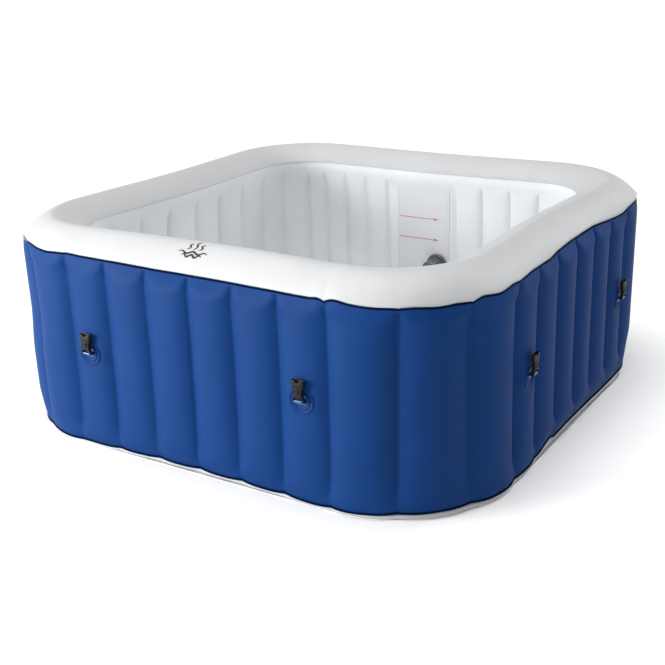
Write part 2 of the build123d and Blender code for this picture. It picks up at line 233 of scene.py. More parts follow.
def disc_faces(rings, sides):
    """Faces from a middle point, number 0, out through rings of points."""
    fan = [(0, 1 + i, 1 + (i + 1) % sides) for i in range(sides)]
    return fan + [f[:1] + f[3:] + f[2:0:-1] for f in ring_faces(rings, sides, 1)]


def stack(points, z):
    z = np.broadcast_to(z, (len(points),))
    return np.concatenate([points, z[:, None]], -1)


def modify(ob, *steps):
    """Apply modifiers to a mesh, each given as its kind and its settings."""
    for kind, settings in steps:
        modifier = ob.modifiers.new(kind.lower(), kind)
        for key, value in settings.items():
            setattr(modifier, key, value)
    depsgraph = bpy.context.evaluated_depsgraph_get()
    mesh = bpy.data.meshes.new_from_object(ob.evaluated_get(depsgraph))
    ob.modifiers.clear()
    ob.data = mesh


def split_edges(degrees):
    return "EDGE_SPLIT", {"split_angle": math.radians(degrees)}


def finish_piece(ob, body, material, replaced=()):
    ob.data.materials.clear()
    ob.data.materials.append(material)
    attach(ob, body)
    if replaced:
        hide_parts(*replaced)


# ---- Materials ----
class Nodes:
    """A short way to write a node tree."""

    def __init__(self, name):
        self.material = bpy.data.materials.new(name)
        self.material.use_nodes = True
        self.tree = self.material.node_tree
        self.shader = self.tree.nodes["Principled BSDF"]
        self.place = self.tree.nodes.new("ShaderNodeTexCoord").outputs["Object"]

    def add(self, kind, inputs=None, **settings):
        node = self.tree.nodes.new(kind)
        for key, value in settings.items():
            setattr(node, key, value)
        for key, value in (inputs or {}).items():
            self.put(node.inputs[key], value)
        return node

    def put(self, socket, value):
        if isinstance(value, bpy.types.NodeSocket):
            self.tree.links.new(value, socket)
        else:
            socket.default_value = value

    def noise(self, scale, detail=3.0, rough=0.5):
        inputs = {"Vector": self.place, "Scale": scale, "Detail": detail, "Roughness": rough}
        return self.add("ShaderNodeTexNoise", inputs).outputs["Fac"]

    def cells(self, scale):
        inputs = {"Vector": self.place, "Scale": scale}
        return self.add("ShaderNodeTexVoronoi", inputs).outputs["Distance"]

    def ramp(self, value, stops):
        node = self.add("ShaderNodeValToRGB", {"Fac": value})
        band = node.color_ramp
        while len(band.elements) < len(stops):
            band.elements.new(0.5)
        for element, (at, colour) in zip(band.elements, stops):
            element.position = at
            element.color = (*colour, 1)
        return node.outputs["Color"]

    def span(self, value, low, high):
        inputs = {"Value": value, "To Min": low, "To Max": high}
        return self.add("ShaderNodeMapRange", inputs).outputs["Result"]

    def mix(self, factor, a, b):
        node = self.add("ShaderNodeMix", data_type="RGBA")
        for socket, value in ((0, factor), (6, a), (7, b)):
            self.put(node.inputs[socket], value)
        return node.outputs[2]

    def bump(self, height, strength, distance, before=None):
        inputs = {"Height": height, "Strength": strength, "Distance": distance}
        if before is not None:
            inputs["Normal"] = before
        return self.add("ShaderNodeBump", inputs).outputs["Normal"]

    def set(self, **sockets):
        for key, value in sockets.items():
            self.put(self.shader.inputs[key.replace("_", " ")], value)
        return self.material


def vinyl(name, deep, light, rough, shine=0.3):
    """Coated PVC: a fine pressed grain, faint mottling and a little dust."""
    n = Nodes(name)
    mottling = n.noise(5.0, 4.0, 0.6)
    scuffs = n.noise(38.0, 5.0, 0.65)
    colour = n.ramp(mottling, [(0.3, deep), (0.7, light)])
    dust = n.ramp(scuffs, [(0.55, (0.0, 0.0, 0.0)), (0.8, (0.05, 0.05, 0.05))])
    pale = tuple(min(1.0, c * 0.85 + 0.05) for c in light)
    colour = n.mix(dust, colour, (*pale, 1))
    fine = n.cells(1500.0)
    soft = n.noise(60.0, 3.0, 0.5)
    normal = n.bump(fine, 0.18, 0.00012, n.bump(soft, 0.06, 0.0012))
    return n.set(Base_Color=colour, Roughness=n.span(scuffs, *rough), Normal=normal, Specular_IOR_Level=shine)


def moulded(name, dark, light, rough=(0.4, 0.52), shine=0.5):
    """Moulded plastic with a spark-eroded texture."""
    n = Nodes(name)
    drift = n.noise(26.0, 4.0, 0.6)
    n.set(Base_Color=n.ramp(drift, [(0.35, dark), (0.7, light)]), Roughness=n.span(drift, *rough))
    return n.set(Normal=n.bump(n.cells(2600.0), 0.22, 0.0001), Specular_IOR_Level=shine)


def clear_film():
    """Clear PVC film with a milky haze."""
    n = Nodes("clear_film")
    haze = n.noise(45.0, 4.0, 0.6)
    n.set(Base_Color=n.ramp(haze, [(0.3, (0.36, 0.45, 0.46)), (0.7, (0.50, 0.58, 0.59))]))
    n.set(Roughness=n.span(haze, 0.12, 0.26), Alpha=0.30)
    return n.set(IOR=1.5, Specular_IOR_Level=0.4)


def grained(name, grain, stops, rough, bump, **sockets):
    """One noise grain that drives colour, roughness and a fine bump."""
    n = Nodes(name)
    fine = n.noise(*grain)
    n.set(Base_Color=n.ramp(fine, stops), Roughness=n.span(fine, *rough), Normal=n.bump(fine, *bump))
    return n.set(**sockets)


def printed(name, dark, light):
    """Screen-printed ink with small pinholes in it."""
    return grained(name, (1600.0, 2.0), [(0.35, dark), (0.75, light)], (0.42, 0.58), (0.15, 0.0001))


M = {
    "blue": vinyl("blue_vinyl", (0.0020, 0.0285, 0.125), (0.0026, 0.0315, 0.138), (0.54, 0.64), 0.08),
    # Painted shade: this near-black blue colours the strip that stands in for the shade in the crease under the
    # rim; the foot bead is made of it too.
    "weld_and_shade": vinyl("blue_weld_and_painted_shade", (0.0004, 0.0040, 0.024), (0.0006, 0.0052, 0.030), (0.7, 0.8), 0.02),
    # Painted light: these two are one pale vinyl in two copies. The copy for the rim, foot strip and inner lip
    # is toned down where the lights fall strongly; the copy for the basin's walls, floor and bubble channel is
    # brightened to paint in light where the rims shade it.
    "white": vinyl("white_vinyl", (0.410, 0.414, 0.424), (0.435, 0.439, 0.449), (0.42, 0.55)),
    "shaded_white": vinyl("grey_vinyl", (0.73, 0.744, 0.763), (0.77, 0.784, 0.803), (0.42, 0.55)),
    "web": vinyl("web_vinyl", (0.60, 0.60, 0.58), (0.68, 0.68, 0.66), (0.6, 0.75)),
    "hose": vinyl("white_hose", (0.58, 0.60, 0.62), (0.66, 0.68, 0.70), (0.4, 0.55)),
    "clear": clear_film(),
    "plastic": moulded("grey_plastic", (0.070, 0.078, 0.084), (0.105, 0.115, 0.122)),
    "panel": vinyl("panel_vinyl", (0.66, 0.67, 0.68), (0.69, 0.70, 0.71), (0.36, 0.46), 0.4),
    "port": moulded("port_plastic", (0.016, 0.018, 0.020), (0.028, 0.031, 0.034)),
    "buckle": moulded("black_plastic", (0.005, 0.0047, 0.0042), (0.010, 0.0093, 0.0080), (0.38, 0.5), 0.15),
    # Painted highlight: the loops are the wall's blue vinyl, made lighter here to paint in the light caught on
    # the fold round each crossbar.
    "tab": vinyl("tab_vinyl", (0.010, 0.055, 0.200), (0.014, 0.065, 0.225), (0.26, 0.34), 0.6),
    "rubber": grained("seal_rubber", (700.0, 3.0), [(0.3, (0.012, 0.012, 0.012)), (0.8, (0.03, 0.03, 0.03))],
                      (0.62, 0.78), (0.2, 0.0002)),
    "red": printed("red_print", (0.56, 0.15, 0.18), (0.64, 0.21, 0.24)),
    "ink": printed("black_ink", (0.006, 0.006, 0.007), (0.02, 0.02, 0.022)),
    "filter": grained("filter_paper", (1200.0, 4.0, 0.7),
                      [(0.3, (0.62, 0.66, 0.70)), (0.7, (0.86, 0.88, 0.90))], (0.8, 0.95), (0.35, 0.0003)),
    "steel": grained("spring_steel", (900.0, 2.0), [(0.3, (0.50, 0.51, 0.53)), (0.7, (0.68, 0.69, 0.71))],
                     (0.25, 0.4), (0.1, 0.0001), Metallic=1.0),
}


# ---- The outer wall ----
WALL = Columns(16)
WALL_HEIGHT = SEAM_Z - FOOT_Z
VALLEY = 0.0200                 # depth of a groove below its chambers' crowns
SIDE_VALLEY = 0.0260            # the same on the two side walls
FOOT_SCALLOP = 0.0055           # how far a web pulls the foot seam in
MID_WAIST = -0.0030             # halfway up, the walls belly out a little instead
WEB_TOP = 0.0095                # a web ends this far below the rim's seam
CREASE = 0.0050                 # the wall tucks in this far right under the rim
# places where a disc or a fitting holds the wall flat: wall, distance along it, height, radius
FLAT_SPOTS = [(side, end * BUCKLE_SPAN, PATCH_Z, PATCH_RADIUS) for side in range(4) for end in (-1, 1)]
for node in ("suction_spigot", "return_spigot", "air_spigot", "drain_outlet", "valve_body"):
    low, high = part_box(node)
    FLAT_SPOTS.append((2, -(low.x + high.x) / 2, (low.z + high.z) / 2, (high.x - low.x) / 2))

# Where each wall's seam stands above its usual height, in millimetres, at places along the wall.
# Air pressure and the pull of the webs leave these edges uneven.
SEAM_RISES = [
    [(-0.70, 15), (-0.62, 16), (-0.57, 14), (-0.53, 8), (-0.485, 5), (-0.41, 11), (-0.36, 8), (-0.24, 5),
     (-0.12, 1), (0.0, 0), (0.385, 0), (0.402, 3.5), (0.4245, -2.5), (0.434, 1.5), (0.452, 5), (0.487, 0),
     (0.55, -3), (0.70, -6)],
    [(-0.70, -6), (-0.61, -5), (-0.58, 4), (-0.555, 1), (-0.52, -4), (-0.46, 2), (-0.42, -1.5), (-0.33, 2),
     (-0.20, -4), (-0.14, 2), (-0.04, 5), (0.08, 6), (0.14, 7), (0.20, 3), (0.26, -2), (0.32, -5),
     (0.375, -6), (0.42, 2), (0.47, 7), (0.70, 7)],
    [(-0.70, 7), (-0.50, 3), (-0.20, 1), (0.10, 4), (0.40, 0), (0.55, 5), (0.70, 6)],
    [(-0.70, 6), (-0.45, 1), (-0.10, 3), (0.30, 0), (0.50, 6), (0.60, 13), (0.70, 15)],
]
FOOT_RISES = [
    [(-0.70, -5), (-0.61, -5), (-0.56, -1), (-0.42, -2), (-0.39, 2), (-0.30, 1), (-0.20, 3), (0.20, 2.5),
     (0.30, 2), (0.40, 0), (0.46, 1), (0.52, 4), (0.58, 6), (0.70, 9)],
    [(-0.70, 9), (-0.62, 9), (-0.54, 5), (-0.44, 3), (-0.38, 6), (-0.28, 2), (-0.25, 8), (-0.205, 19),
     (-0.165, 21), (-0.14, 13), (0.24, 13), (0.36, 17), (0.44, 20), (0.52, 26), (0.70, 24)],
    [(-0.70, 24), (-0.55, 16), (-0.30, 8), (0.0, 4), (0.40, 3), (0.70, 2)],
    [(-0.70, 2), (-0.30, 3), (0.10, 2), (0.50, 0), (0.70, -5)],
]


def rises(table, columns, level):
    """Height above the usual seam for every column, from one of the tables above."""
    along = columns.along(level, 0)
    rise = np.zeros(columns.count)
    for wall, points in enumerate(table):
        places, heights = zip(*points)
        rise = np.where(columns.wall == wall, np.interp(along, places, heights), rise)
    return rise / 1000


def seam_wave(columns):
    """Rise and fall of the rim's seam: nearly level along the walls, a loose polygon round the corners."""
    along = columns.along(SEAM, 0)
    straight = SEAM["half"] - SEAM["radius"]
    share = np.clip((np.abs(along) - (straight - 0.05)) / 0.10, 0, 1)
    corner_angle = np.clip((np.abs(along) - straight) / SEAM["radius"], 0, math.pi / 4)
    facets = np.abs(np.sin(corner_angle * 5.2 + 0.5 * steady(columns.wall * 2 + (along > 0), 3)))
    rise = 0.0034 * (0.45 - facets) * smooth(share)
    dip = -0.0020 * columns.q ** 14 * smooth(share * 2)
    return rise + dip + rises(SEAM_RISES, columns, SEAM)


def taut(columns):
    """1 where the foot of the wall is pulled smooth, 0 where the webs scallop it."""
    along = columns.along(FOOT, 0)
    right = np.where(columns.wall == 1, smooth((along + 0.185) / 0.05), 0.0)
    back = np.where(columns.wall == 2, 1 - smooth((along + 0.45) / 0.30), 0.0)
    return right + back


def outer_level(height):
    """The outline at a height above the foot seam. The walls lose their waist between the two seams."""
    level = level_between(FOOT, SEAM, height / WALL_HEIGHT)
    at_foot = 1 - smooth(height / 0.055)
    at_top = 1 - smooth((WALL_HEIGHT - height) / 0.060)
    level["waist"] = FOOT["waist"] * at_foot + SEAM["waist"] * at_top + MID_WAIST * (1 - at_foot - at_top)
    return level


def corner_lean(normals, height):
    """Two corners stand a little off the regular shape: the left one bellies out low down,
    the right one draws in towards the foot."""
    left = smooth((normals @ np.array([-0.707, -0.707]) - 0.72) / 0.26)
    right = smooth((normals @ np.array([0.707, 0.707]) - 0.66) / 0.30)
    belly = smooth((height - 0.010) / 0.09) * (1 - smooth((height - 0.20) / 0.16))
    draw = 1 - smooth(height / 0.150)
    return 0.008 * left * belly - 0.016 * right * draw


def crown(height):
    """How far the crowns stand out from the straight line between the foot seam and the rim's seam."""
    foot_reach, top_reach = 0.052, 0.072
    low = 1 - np.clip(height / foot_reach, 0, 1)
    high = 1 - np.clip((WALL_HEIGHT - height) / top_reach, 0, 1)
    foot = 1 - np.sqrt(np.maximum(1 - low ** 2, 0))
    top = 0.4 * (1 - np.sqrt(np.maximum(1 - high ** 2, 0))) + 0.6 * high ** 2.6
    return 0.0085 * (1 - foot - top)


def valley(columns, height):
    """Depth of the wall below its crown, at every column."""
    below_web = WALL_HEIGHT - height - WEB_TOP
    pinch = smooth(below_web / 0.008)
    open_up = smooth((below_web - 0.003) / 0.042) * 0.74 + smooth(below_web / 0.200) * 0.26
    scalloped = smooth((height - 0.004) / 0.065) * 0.72 + smooth(height / 0.200) * 0.28
    smoothed = smooth((height - 0.026) / 0.060) * 0.72 + smooth(height / 0.200) * 0.28
    near_foot = lerp(scalloped, smoothed, taut(columns))
    strength = (0.34 * pinch + 0.66 * open_up) * near_foot
    power = lerp(12.0, 2.05, smooth((below_web - 0.002) / 0.046))
    uneven = 1 + 0.10 * steady(columns.chamber, 1)
    shape = 0.55 * columns.q ** power + 0.45 * columns.q ** (power + 1.3)
    deep = np.where(columns.wall % 2 == 1, SIDE_VALLEY, VALLEY)
    depth = deep * uneven * strength * shape
    scallop = FOOT_SCALLOP * columns.q ** 2.6 * (1 - near_foot) * (1 - taut(columns))
    depth = np.where(columns.panel, VALLEY * strength * columns.q ** 9, depth)
    return depth + scallop


def pucker(columns, height):
    """Fine gathers that run a little way down from the rim's seam and up from the foot."""
    from_top = WALL_HEIGHT - height
    along = columns.along(SEAM, 0)
    fade = math.exp(-from_top / 0.016) * min(1.0, from_top / 0.004)
    fade += 0.8 * math.exp(-height / 0.014) * min(1.0, height / 0.003)
    phase = 2.1 * steady(columns.chamber, 5)
    waves = np.sin(along * 190 + phase) + 0.6 * np.sin(along * 327 + 2 * phase)
    return 0.00055 * fade * waves


def outer_row(columns, height, inset=0.0):
    """One row of the outer wall: points round the tub at one height above the foot."""
    along, points, normals = level_ring(columns, outer_level(height))
    offset = crown(height) - valley(columns, height) + pucker(columns, height) - inset
    crease = CREASE * math.exp(-((WALL_HEIGHT - height) / 0.0060) ** 2)
    offset = offset + corner_lean(normals, height) - crease
    points = points + normals * offset[:, None]
    z = FOOT_Z + height + seam_wave(columns) * smooth((height - 0.35) / (WALL_HEIGHT - 0.35))
    z = z + rises(FOOT_RISES, columns, FOOT) * (1 - smooth(height / 0.16))
    z = z + 0.0030 * columns.q ** 3 * (1 - smooth(height / 0.05)) * (1 - taut(columns))
    for wall, spot, spot_z, radius in FLAT_SPOTS:
        near = columns.wall == wall
        distance = np.hypot(along - spot, z - spot_z)
        weight = np.where(near, 1 - smooth((distance - radius) / 0.020), 0.0)
        turn = wall * math.pi / 2
        facing = np.array([math.sin(turn), -math.cos(turn)])
        out = points @ facing
        points = points + facing * (weight * (WALL_FACE - inset - out))[:, None]
    return stack(points, z)


def outer_heights():
    foot = [0.0, 0.0015, 0.004, 0.008, 0.013, 0.019, 0.026, 0.034, 0.043, 0.053, 0.064]
    middle = list(np.arange(0.080, WALL_HEIGHT - 0.122, 0.0125))
    top = [0.118, 0.104, 0.091, 0.079, 0.068, 0.058, 0.050, 0.043, 0.037, 0.032, 0.028, 0.0245, 0.0215]
    top += [0.019, 0.0168, 0.0148, 0.013, 0.0115, 0.0102, 0.009, 0.0075, 0.006, 0.004, 0.002, 0.0008, 0.0]
    return foot + middle + [WALL_HEIGHT - t for t in top]


SKIN = 0.0009


def make_skin(name, row, places, material, node):
    """One of the two walls: its rows at a list of places, out and back again at the skin's thickness."""
    rows = [row(WALL, place) for place in places]
    rows += [row(WALL, place, SKIN) for place in reversed(places)]
    finish_piece(ring_mesh(name, rows, closed_rows=True), "tub", material, [node])


make_skin("outer_skin", outer_row, outer_heights(), M["blue"], "outer_wall")


def make_seam_shade_strip():
    """Painted shade: a near-black strip in the crease right under the rim, standing in for the shade there."""
    drops = (0.0094, 0.0088, 0.0074, 0.0060, 0.0044, 0.0028)
    face = [outer_row(WALL, WALL_HEIGHT - d, -0.0008 * min(1.0, (0.0099 - d) / 0.0011)) for d in drops]
    back = [outer_row(WALL, WALL_HEIGHT - d, 0.0003) for d in reversed(drops)]
    ob = ring_mesh("seam_shade_strip", face + back, closed_rows=True)
    finish_piece(ob, "tub", M["weld_and_shade"])


make_seam_shade_strip()


# ---- The rim ----
def rim_height(share, power):
    """Height of the rim as a share of its crown's, from how far down the slope a place is."""
    soft = 0.10
    fall = (share ** 2 + soft ** 2) ** (power / 2) - soft ** power
    whole = (1 + soft ** 2) ** (power / 2) - soft ** power
    return max(1 - fall / whole, 0.0) ** (1 / power)


def rim_share(angle):
    """Place across the rim, as a share of its width, its height, and whether it is on the inner slope."""
    c = math.cos(angle)
    if c >= 0:
        share = c ** (2 / RIM_OUTER_POWER)
        return RIM_APEX * (1 - share), rim_height(share, RIM_OUTER_POWER), 0
    share = abs(c) ** (2 / RIM_INNER_POWER)
    return RIM_APEX + (1 - RIM_APEX) * share, rim_height(share, RIM_INNER_POWER), 1


def rim_row(columns, across, height, low_z, lift):
    """One row of the rim, across from 0 at the outer seam to 1 at the inner one."""
    along, points, normals = level_ring(columns, level_between(SEAM, INNER, across), across)
    wave = seam_wave(columns) * (1 - height) ** 2 * (1 - smooth(across / 0.4))
    z = low_z + (TUB_TOP - low_z) * height + wave
    along_seam = columns.along(SEAM, 0)
    gather = 0.0005 * math.exp(-across / 0.035) * np.sin(along_seam * 150 + 2 * steady(columns.chamber, 8))
    return stack(points + normals * (gather + lift)[:, None], z)


def make_rim():
    angles = [0.0, 0.03, 0.07, 0.12, 0.18, 0.25, 0.33]
    angles += list(np.linspace(0.42, math.pi - 0.42, 34))
    angles += [math.pi - a for a in (0.33, 0.25, 0.18, 0.12, 0.07, 0.03, 0.0)]
    along, points, normals = level_ring(WALL, SEAM)
    rows = []
    # the band's cut edge laps 3 mm down over the seam
    for down, out in ((0.0005, -0.0012), (-0.0030, -0.0004), (-0.0034, 0.0008), (-0.0026, 0.0017)):
        rows.append(stack(points + normals * out, SEAM_Z + down + seam_wave(WALL)))
    for angle in angles:
        across, height, inner = rim_share(angle)
        low_z = INNER_SEAM_Z if inner else SEAM_Z
        rows.append(rim_row(WALL, across, height, low_z, 0.0018 * math.exp(-across / 0.02)))
    ob = ring_mesh("rim_band", rows)
    finish_piece(ob, "tub", M["white"], ["top_band"])


make_rim()


def film_reach(columns):
    """Width of the clear flange: trimmed close along the walls, left wide at two of the corners."""
    along = columns.along(SEAM, 0)
    places = [(0, -0.70, 0.09), (3, 0.66, 0.14), (1, 0.66, 0.08), (2, -0.62, 0.10), (2, 0.55, 0.08)]
    reach = np.full(columns.count, 0.0012)
    for wall, middle, half in places:
        near = 1 - smooth((np.abs(along - middle) - half * 0.6) / (half * 0.6))
        reach = reach + np.where(columns.wall == wall, 0.0118 * near, 0.0)
    return reach + 0.0003 * np.sin(along * 41 + 2 * columns.wall)


def make_rim_film():
    """Clear flange that stands out from the rim's seam."""
    reach = film_reach(WALL)
    along, points, normals = level_ring(WALL, SEAM)
    rows = []
    for share in (-0.35, 0.0, 0.25, 0.5, 0.75, 1.0):
        ripple = 0.0020 * max(share, 0) * np.sin(along * 62 + 3 * steady(WALL.wall, 2))
        ripple = ripple + 0.0008 * max(share, 0) * np.sin(along * 143 + WALL.wall)
        droop = -0.18 * reach * max(share, 0) ** 2
        z = SEAM_Z - 0.0030 + droop + seam_wave(WALL) + ripple * reach / 0.013
        rows.append(stack(points + normals * (0.0015 + reach * share)[:, None], z))
    under = [row - np.array([0, 0, 0.0006]) for row in reversed(rows)]
    ob = ring_mesh("rim_film", rows + under, closed_rows=True)
    finish_piece(ob, "tub", M["clear"], ["rim_welt"])


make_rim_film()


# ---- Foot: blue welt, white strip and the floor ----
def make_foot_bead():
    """Blue bead that follows the foot of the wall."""
    foot = outer_row(WALL, 0.0)
    normals = level_ring(WALL, outer_level(0.0))[2]
    rows = []
    for c, s in circle(10):
        z = foot[:, 2] - 0.0014 + 0.0027 * s
        rows.append(stack(foot[:, :2] + normals * (0.0016 + 0.0042 * c), z))
    ob = ring_mesh("foot_bead", rows, closed_rows=True, flip=True)
    finish_piece(ob, "tub", M["weld_and_shade"], ["foot_welt"])


make_foot_bead()


def make_foot_strip():
    rows = []
    profile = [(-0.003, 0.0108), (-0.0006, 0.0100), (0.0008, 0.0072), (0.0002, 0.0040), (-0.0022, 0.0016)]
    profile += [(-0.0050, 0.0008), (-0.0070, 0.0016), (-0.0060, 0.0100)]
    along, points, normals = level_ring(WALL, FOOT)
    ripple = 0.0007 * np.sin(along * 47 + 2 * WALL.wall) + 0.0004 * np.sin(along * 113)
    inward = 0.45 * FOOT_SCALLOP * WALL.q ** 3
    lean = corner_lean(normals, 0.0)
    for out, z in profile:
        follow = rises(FOOT_RISES, WALL, FOOT) * min(1.0, z / 0.0100)
        rows.append(stack(points + normals * (out + ripple + lean - inward)[:, None], z + follow))
    ob = ring_mesh("foot_band", rows, closed_rows=True, flip=True)
    finish_piece(ob, "tub", M["white"], ["foot_strip"])


make_foot_strip()


def floor_point(u, v):
    """A place on the floor, from two shares of a square, -1 to 1: rings of rounded squares."""
    ring = max(abs(u), abs(v))
    reach = FOOT["half"] - 0.002
    straight = (reach - FOOT["radius"]) * ring
    x, y = reach * u, reach * v
    beyond = (abs(x) - straight, abs(y) - straight)
    if min(beyond) > 0:
        length = math.hypot(*beyond)
        grow = max(beyond) / length
        x = math.copysign(straight + beyond[0] * grow, x)
        y = math.copysign(straight + beyond[1] * grow, y)
        normal = np.array([math.copysign(beyond[0], x), math.copysign(beyond[1], y)]) / length
        lean = corner_lean(normal, 0.0) * ring
        x, y = x + lean * normal[0], y + lean * normal[1]
    return x, y


def make_floor_sheet():
    """Floor of the basin and underside, one sheet with slack ripples inside the basin."""
    size = 96
    steps = [2 * i / size - 1 for i in range(size + 1)]
    places = [floor_point(u, v) for u in steps for v in steps]
    verts = []
    for x, y in places:
        inside = 1 - smooth((math.hypot(x, y) - 0.50) / 0.10)
        wave = 0.5 + 0.5 * noise.noise(Vector((x * 5, y * 5, 1.7)))
        fold = abs(noise.noise(Vector((x * 3.1 + 4, y * 3.1, 6.2))))
        verts.append((x, y, 0.0028 + inside * (0.0018 * wave - 0.0016 * math.exp(-fold * 18) + 0.0006)))
    verts += [(x, y, 0.0001) for x, y in places]
    stride = (size + 1) ** 2
    faces = []
    for i in range(size):
        for j in range(size):
            a = i * (size + 1) + j
            top = (a, a + size + 1, a + size + 2, a + 1)
            faces += [top, tuple(stride + k for k in reversed(top))]
    edge = [i * (size + 1) for i in range(size)]
    edge += [size * (size + 1) + j for j in range(size)]
    edge += [(size - i) * (size + 1) + size for i in range(size)]
    edge += [size - j for j in range(size)]
    for a, b in zip(edge, edge[1:] + edge[:1]):
        faces.append((b, stride + b, stride + a, a))
    ob = mesh_from("floor_sheet", verts, faces)
    finish_piece(ob, "tub", M["shaded_white"], ["base_sheet"])


make_floor_sheet()


# ---- Inner wall ----
INNER_VALLEY = 0.0135
PANEL_WALL_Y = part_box("level_panel")[1].y + 0.0004
INNER_HEIGHT = INNER_SEAM_Z - 0.0032


def inner_row(columns, depth, inset=0.0):
    """One row of the inner wall at a depth below its seam."""
    along, points, normals = level_ring(columns, level_between(INNER, BASIN, smooth(depth / 0.10)), 1)
    begin = smooth((depth - 0.034) / 0.026) * 0.62 + smooth((depth - 0.034) / 0.110) * 0.38
    near_floor = 1 - 0.5 * smooth((depth - INNER_HEIGHT + 0.05) / 0.05)
    power = lerp(8.0, 2.2, smooth((depth - 0.034) / 0.060))
    shape = 0.5 * columns.q ** power + 0.5 * columns.q ** (power + 2.2)
    shape = np.where(columns.panel, columns.q ** 16, shape)
    uneven = 1 + 0.12 * steady(columns.chamber, 4)
    groove = INNER_VALLEY * begin * near_floor * uneven * shape
    soft = 0.0015 * math.exp(-((depth - 0.022) / 0.016) ** 2)
    points = points + normals * (groove - soft + inset)[:, None]
    along_seam = columns.along(INNER, 1)
    gather = 0.0004 * math.exp(-depth / 0.02) * np.sin(along_seam * 170 + 3 * steady(columns.chamber, 6))
    points = points + normals * gather[:, None]
    # the panel's chamber stays flat behind the panel
    flat = np.where(columns.panel, smooth((depth - 0.035) / 0.035), 0.0)
    points[:, 1] = lerp(points[:, 1], np.maximum(points[:, 1], PANEL_WALL_Y + inset), flat)
    return stack(points, INNER_SEAM_Z - depth)


def inner_depths():
    top = [0.0, 0.002, 0.005, 0.009, 0.013, 0.018, 0.023, 0.028, 0.033, 0.039, 0.045, 0.052, 0.060, 0.070]
    top.append(0.082)
    rest = list(np.arange(0.096, INNER_HEIGHT - 0.01, 0.018))
    return top + rest + [INNER_HEIGHT]


make_skin("inner_skin", inner_row, inner_depths(), M["shaded_white"], "inner_wall")


def make_inner_seam():
    """Thin welded lip where the rim meets the inner wall."""
    rows = []
    profile = ((0.0012, 0.0013), (-0.0008, 0.0010), (-0.0013, 0.0), (-0.0008, -0.0010), (0.0012, -0.0012))
    along, points, normals = level_ring(WALL, INNER, 1)
    for out, z in profile:
        rows.append(stack(points + normals * out, INNER_SEAM_Z + z))
    ob = ring_mesh("inner_seam", rows, closed_rows=True)
    finish_piece(ob, "tub", M["white"], ["inner_welt"])


make_inner_seam()


# ---- Webs, between the two walls ----
def make_webs():
    """One thin upright sheet at every web, from groove to groove."""
    coarse = Columns(2)
    heights = list(np.linspace(0.036, 0.124, 10)) + list(np.linspace(0.150, 0.430, 8))
    heights += list(np.linspace(0.442, WALL_HEIGHT - WEB_TOP - 0.02, 18))
    outer = [outer_row(coarse, h, 0.0018) for h in heights]
    inner = [inner_row(coarse, INNER_SEAM_Z - (FOOT_Z + h), 0.0012) for h in heights]
    groups = {"front_webs": [], "side_webs": [], "back_webs": [], "corner_webs": []}
    for c in np.nonzero(np.isclose(coarse.q, 1.0))[0]:
        key = ("front_webs", "side_webs", "back_webs", "side_webs")[coarse.wall[c]]
        groups["corner_webs" if isinstance(coarse.low[c], str) else key].append(c)
    for key, chosen in groups.items():
        verts, faces = [], []
        for c in chosen:
            across = outer[0][c] - inner[0][c]
            aside = np.array(Vector((-across[1], across[0], 0)).normalized() * 0.0005)
            sheet = [(o[c] - aside, i[c] - aside, i[c] + aside, o[c] + aside) for o, i in zip(outer, inner)]
            add_part(verts, faces, *closed_loft(sheet))
        ob = mesh_from(key + "_sheet", verts, faces, shade=False)
        finish_piece(ob, "tub", M["web"], [key])


make_webs()


# ---- Bubble channel at the foot of the basin ----
def make_bubble_channel():
    fine = Columns(14)
    profile = [(-0.0002, 0.0440), (0.0014, 0.0438), (0.0020, 0.0400), (0.0030, 0.0372)]
    profile += [(0.0085, 0.0335), (0.0150, 0.0275), (0.0215, 0.0205), (0.0268, 0.0130)]
    profile += [(0.0300, 0.0072), (0.0322, 0.0058), (0.0400, 0.0056), (0.0412, 0.0046), (0.0410, 0.0030)]
    along, points, normals = level_ring(fine, BASIN, 1)
    rows = []
    for inward, z in profile:
        puff = 0.0009 * np.sin(along * 89) * math.sin(math.pi * min(1.0, inward / 0.03))
        rows.append(stack(points - normals * (inward + puff)[:, None], z))
    ob = ring_mesh("bubble_channel", rows, flip=True)
    modify(ob, ("SOLIDIFY", {"thickness": SKIN, "offset": -1.0}))
    finish_piece(ob, "tub", M["shaded_white"], ["bubble_ring"])


make_bubble_channel()

# ---- Level panel ----
def rounded_rectangle(width, height, radius, steps=8):
    """Points round a rectangle with round corners, anticlockwise, centred on 0, 0."""
    points = []
    for corner, (sx, sy) in enumerate(((1, 1), (-1, 1), (-1, -1), (1, -1))):
        cx, cy = sx * (width / 2 - radius), sy * (height / 2 - radius)
        for i in range(steps + 1):
            turn = math.pi / 2 * (corner + i / steps)
            points.append((cx + radius * math.cos(turn), cy + radius * math.sin(turn)))
    return points


def cut(ob, cutters):
    """Take cutters out of an object."""
    common = {"operation": "DIFFERENCE", "solver": "EXACT"}
    modify(ob, *[("BOOLEAN", {**common, "object": cutter}) for cutter in cutters])
    for cutter in cutters:
        bpy.data.objects.remove(cutter)


def rod(name, radius, start, end, sides=48):
    """A closed round bar between two points."""
    start, end = Vector(start), Vector(end)
    axis = (end - start).normalized()
    side = axis.orthogonal().normalized()
    other = axis.cross(side)
    around = [radius * (c * side + s * other) for c, s in circle(sides)]
    return loft(name, [[centre + out for out in around] for centre in (start, end)])


